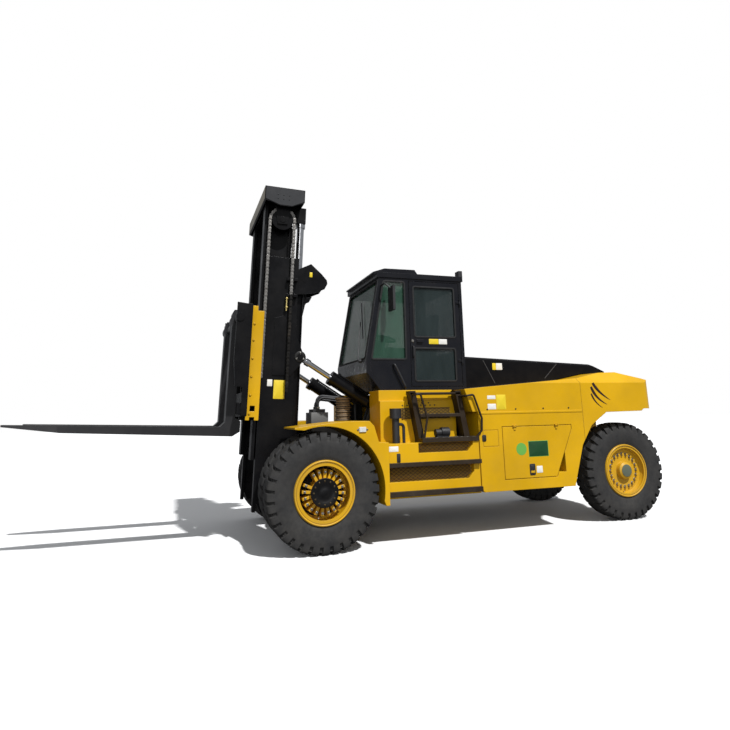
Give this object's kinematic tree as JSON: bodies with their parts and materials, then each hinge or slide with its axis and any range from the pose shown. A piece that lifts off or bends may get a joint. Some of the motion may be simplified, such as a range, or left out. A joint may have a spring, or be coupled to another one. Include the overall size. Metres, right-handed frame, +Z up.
{
  "type": "electric forklift",
  "caption": "Heavy electric counterbalance forklift with a leaning two-stage mast, long forks, twin drive tyres, steered rear wheels, an offset cab and a lidded battery body.",
  "frame": {"origin": "on the floor under the middle of the truck's length and width, fork tips to counterweight", "axes": "+X forward along the forks, +Y to the truck's left, +Z up"},
  "size_m": [9.1092, 3.146, 4.7864],
  "materials": {
    "lamp_clear": "clear moulded lens",
    "body_yellow": "semi-gloss yellow paint",
    "frame_black": "satin black paint",
    "mast_black": "satin black paint",
    "cab_dark": "semi-gloss blue-black paint",
    "step_dark": "matte black paint",
    "cylinder_chrome": "hard chrome",
    "chain_steel": "oiled steel",
    "tinted_glass": "green tint",
    "tyre_rubber": "matte rubber",
    "fitting_black": "matte black",
    "seat_vinyl": "black vinyl",
    "cab_plastic": "grained plastic"
  },
  "bodies": {
    "chassis": {"chassis_frame": "frame_black", "drive_axle": "frame_black", "steer_axle": "frame_black", "battery_block": "frame_black", "counterweight": "body_yellow", "side_bodies": "body_yellow", "fenders": "body_yellow", "side_tanks": "body_yellow", "step_frames": "step_dark", "fender_lamps": "lamp_clear", "hydraulic_fittings": "fitting_black", "cab_floor": "cab_dark", "cab_front_frame": "cab_dark", "cab_left_frame": "cab_dark", "cab_right_wall": "cab_dark", "cab_rear_wall": "cab_dark", "cab_roof": "cab_dark", "cab_glass": "tinted_glass", "seat": "seat_vinyl", "driver_controls": "cab_plastic", "cab_fittings": "cab_plastic"},
    "mast": {"outer_mast": "mast_black", "lift_barrels": "mast_black", "hose_guards": "mast_black"},
    "inner_mast": {"inner_mast": "mast_black", "lift_rods": "cylinder_chrome", "lift_chains": "chain_steel"},
    "carriage": {"carriage": "mast_black", "carriage_side_plates": "body_yellow"},
    "fork_left": {"fork_left": "mast_black"},
    "fork_right": {"fork_right": "mast_black"},
    "tilt_barrel_left": {"tilt_barrel_left": "mast_black"},
    "tilt_barrel_right": {"tilt_barrel_right": "mast_black"},
    "tilt_rod_left": {"tilt_rod_left": "cylinder_chrome"},
    "tilt_rod_right": {"tilt_rod_right": "cylinder_chrome"},
    "drive_wheel_left": {"drive_rim_left": "body_yellow", "drive_tyres_left": "tyre_rubber"},
    "drive_wheel_right": {"drive_rim_right": "body_yellow", "drive_tyres_right": "tyre_rubber"},
    "knuckle_left": {"knuckle_left": "frame_black"},
    "knuckle_right": {"knuckle_right": "frame_black"},
    "steer_wheel_left": {"steer_rim_left": "body_yellow", "steer_tyre_left": "tyre_rubber"},
    "steer_wheel_right": {"steer_rim_right": "body_yellow", "steer_tyre_right": "tyre_rubber"},
    "cab_door": {"cab_door": "cab_dark", "door_glass": "tinted_glass"},
    "side_hatch_left": {"side_hatch_left": "body_yellow"},
    "side_hatch_right": {"side_hatch_right": "body_yellow"},
    "hood": {"hood": "cab_dark"}
  },
  "joints": [
    {"name": "mast_tilt", "type": "hinge", "parent": "chassis", "child": "mast", "pos_m": [1.19541, 0, 0.52], "axis": [0, 1, 0], "range_deg": [-10, 8]},
    {"name": "mast_lift", "type": "slide", "parent": "mast", "child": "inner_mast", "axis": [-0.0349, 0, 0.9994], "range_m": [-0.65, 1.35]},
    {"name": "carriage_lift", "type": "slide", "parent": "inner_mast", "child": "carriage", "axis": [-0.0349, 0, 0.9994], "range_m": [-0.65, 1.35]},
    {"name": "fork_left_shift", "type": "slide", "parent": "carriage", "child": "fork_left", "axis": [0, 1, 0], "range_m": [-0.38, 0.2]},
    {"name": "fork_right_shift", "type": "slide", "parent": "carriage", "child": "fork_right", "axis": [0, -1, 0], "range_m": [-0.38, 0.2]},
    {"name": "tilt_barrel_left_swing", "type": "hinge", "parent": "chassis", "child": "tilt_barrel_left", "pos_m": [-0.03459, 0.658, 1.71], "axis": [0, 1, 0], "range_deg": [-7.17, 5.78]},
    {"name": "tilt_rod_left_slide", "type": "slide", "parent": "tilt_barrel_left", "child": "tilt_rod_left", "axis": [0.843, 0, 0.538], "range_m": [-0.2935, 0.2352]},
    {"name": "tilt_barrel_right_swing", "type": "hinge", "parent": "chassis", "child": "tilt_barrel_right", "pos_m": [-0.03459, -0.658, 1.71], "axis": [0, 1, 0], "range_deg": [-7.17, 5.78]},
    {"name": "tilt_rod_right_slide", "type": "slide", "parent": "tilt_barrel_right", "child": "tilt_rod_right", "axis": [0.843, 0, 0.538], "range_m": [-0.2935, 0.2352]},
    {"name": "drive_wheel_left_spin", "type": "hinge", "parent": "chassis", "child": "drive_wheel_left", "pos_m": [0.89541, 1.183, 0.7], "axis": [0, 1, 0], "continuous": true},
    {"name": "drive_wheel_right_spin", "type": "hinge", "parent": "chassis", "child": "drive_wheel_right", "pos_m": [0.89541, -1.183, 0.7], "axis": [0, 1, 0], "continuous": true},
    {"name": "steer_left", "type": "hinge", "parent": "chassis", "child": "knuckle_left", "pos_m": [-3.80459, 0.85, 0.7], "axis": [0, 0, 1], "range_deg": [-65, 65]},
    {"name": "steer_wheel_left_spin", "type": "hinge", "parent": "knuckle_left", "child": "steer_wheel_left", "pos_m": [-3.80459, 1.11, 0.7], "axis": [0, 1, 0], "continuous": true},
    {"name": "steer_right", "type": "hinge", "parent": "chassis", "child": "knuckle_right", "pos_m": [-3.80459, -0.85, 0.7], "axis": [0, 0, 1], "range_deg": [-65, 65]},
    {"name": "steer_wheel_right_spin", "type": "hinge", "parent": "knuckle_right", "child": "steer_wheel_right", "pos_m": [-3.80459, -1.11, 0.7], "axis": [0, 1, 0], "continuous": true},
    {"name": "cab_door_swing", "type": "hinge", "parent": "chassis", "child": "cab_door", "pos_m": [-1.25459, 1.104, 2.7], "axis": [0, 0, 1], "range_deg": [0, 90]},
    {"name": "side_hatch_left_lift", "type": "hinge", "parent": "chassis", "child": "side_hatch_left", "pos_m": [-2.19459, 1.465, 1.396], "axis": [1, 0, 0], "range_deg": [0, 80]},
    {"name": "side_hatch_right_lift", "type": "hinge", "parent": "chassis", "child": "side_hatch_right", "pos_m": [-2.19459, -1.465, 1.396], "axis": [-1, 0, 0], "range_deg": [0, 80]},
    {"name": "hood_lift", "type": "hinge", "parent": "chassis", "child": "hood", "pos_m": [-3.93459, 0, 2.15], "axis": [0, -1, 0], "range_deg": [0, 50]}
  ],
  "couplings": [
    {"joint": "carriage_lift", "follows": "mast_lift", "ratio": 1},
    {"joint": "steer_right", "follows": "steer_left", "ratio": 1},
    {"joint": "tilt_barrel_left_swing", "follows": "mast_tilt", "ratio": 0.6971},
    {"joint": "tilt_rod_left_slide", "follows": "mast_tilt", "m_per_rad": 1.6704},
    {"joint": "tilt_barrel_right_swing", "follows": "mast_tilt", "ratio": 0.6971},
    {"joint": "tilt_rod_right_slide", "follows": "mast_tilt", "m_per_rad": 1.6704}
  ]
}
